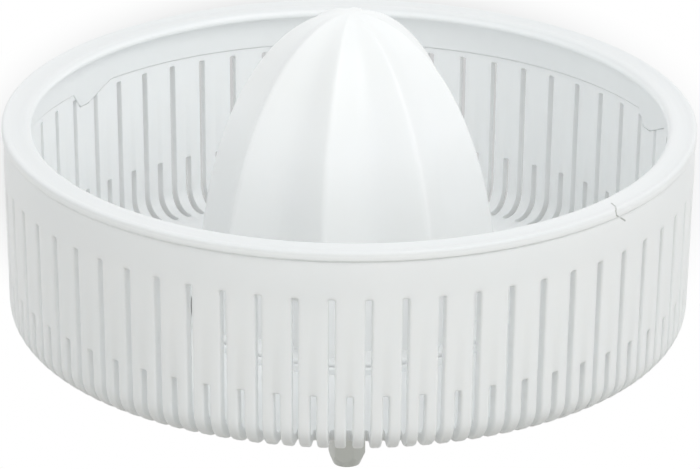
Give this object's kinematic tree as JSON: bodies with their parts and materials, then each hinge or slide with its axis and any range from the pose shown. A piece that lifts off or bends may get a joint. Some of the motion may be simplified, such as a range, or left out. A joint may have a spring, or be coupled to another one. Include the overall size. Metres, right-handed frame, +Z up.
{
  "type": "citrus press insert",
  "caption": "Citrus press insert for a food processor: slotted sieve basket with rim collar, ridged reamer cone and a hexagonal drive shaft with a planetary reduction gear under the cone.",
  "frame": {"origin": "on the axis, at the upper end of the straight pilot land that enters the bowl, 1.4 mm under the seat of the rim", "axes": "+Z up along the axis of the cone and shaft, -Z the way the insert goes into the bowl, -Y towards the viewer of the front"},
  "size_m": [0.17, 0.17, 0.1196],
  "materials": {
    "basket_white": "satin white moulded plastic",
    "collar_white": "satin white moulded plastic",
    "cone_white": "smooth white moulded plastic",
    "shaft_grey": "light grey moulded plastic",
    "gear_natural": "natural low-friction plastic",
    "carrier_grey": "dark grey glass-filled plastic",
    "hub_grey": "light grey moulded plastic",
    "housing_grey": "pale grey moulded plastic",
    "steel": "turned and plated steel",
    "bush_tan": "plain bearing plastic",
    "seal_black": "soft seal rubber"
  },
  "bodies": {
    "basket": {"sieve_basket": "basket_white", "rim_collar": "collar_white", "gear_housing": "housing_grey", "gear_cover": "housing_grey", "ring_gear": "gear_natural", "base_screws": "steel", "cover_screws": "steel", "input_bush": "bush_tan", "output_bush": "bush_tan", "shaft_seal": "seal_black", "output_seal": "seal_black", "thrust_washer": "gear_natural"},
    "drive": {"drive_shaft": "shaft_grey", "sun_gear": "gear_natural", "retaining_clip": "steel"},
    "carrier": {"planet_carrier": "carrier_grey", "planet_pins": "steel", "output_hub": "hub_grey"},
    "planet_1": {"planet_gear_1": "gear_natural"},
    "planet_2": {"planet_gear_2": "gear_natural"},
    "planet_3": {"planet_gear_3": "gear_natural"},
    "cone": {"reamer_cone": "cone_white"}
  },
  "joints": [
    {"name": "cone_spin", "type": "hinge", "parent": "basket", "child": "carrier", "pos_m": [0, 0, -0.0425], "axis": [0, 0, 1], "continuous": true},
    {"name": "drive_spin", "type": "hinge", "parent": "basket", "child": "drive", "pos_m": [0, 0, -0.0425], "axis": [0, 0, 1], "continuous": true},
    {"name": "planet_1_spin", "type": "hinge", "parent": "carrier", "child": "planet_1", "pos_m": [0.012, 0, -0.0375], "axis": [0, 0, 1], "continuous": true},
    {"name": "planet_2_spin", "type": "hinge", "parent": "carrier", "child": "planet_2", "pos_m": [-0.006, 0.01039, -0.0375], "axis": [0, 0, 1], "continuous": true},
    {"name": "planet_3_spin", "type": "hinge", "parent": "carrier", "child": "planet_3", "pos_m": [-0.006, -0.01039, -0.0375], "axis": [0, 0, 1], "continuous": true},
    {"name": "cone_lift", "type": "slide", "parent": "carrier", "child": "cone", "axis": [0, 0, 1], "range_m": [0, 0.05]}
  ],
  "couplings": [
    {"joint": "drive_spin", "follows": "cone_spin", "ratio": 4},
    {"joint": "planet_1_spin", "follows": "cone_spin", "ratio": -3},
    {"joint": "planet_2_spin", "follows": "cone_spin", "ratio": -3},
    {"joint": "planet_3_spin", "follows": "cone_spin", "ratio": -3}
  ]
}
